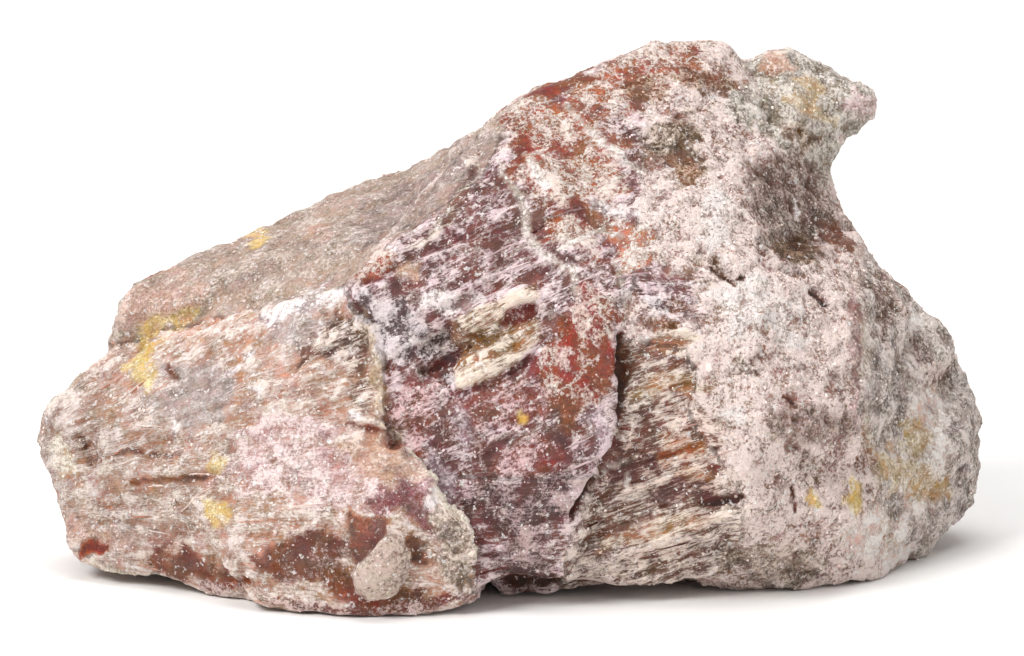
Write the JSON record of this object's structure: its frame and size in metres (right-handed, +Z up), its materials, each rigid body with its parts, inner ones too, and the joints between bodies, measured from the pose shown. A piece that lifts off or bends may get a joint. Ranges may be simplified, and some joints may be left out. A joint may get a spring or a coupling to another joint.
{
  "type": "soapstone specimen",
  "caption": "Rough broken piece of fibrous soapstone with a horn, a sloping crest, a long lobe and a foot; lies on a flat spot.",
  "frame": {"origin": "middle of the stone's bounding box, on the plane that it rests on", "axes": "+X along the stone's length towards the horn, +Z up, -Y towards the face that the picture shows"},
  "size_m": [0.0954, 0.051, 0.0515],
  "materials": {
    "soapstone": "rough broken stone, matt with waxy patches, dusted with pale talc"
  },
  "bodies": {
    "root": {"soapstone": "soapstone"}
  },
  "joints": []
}
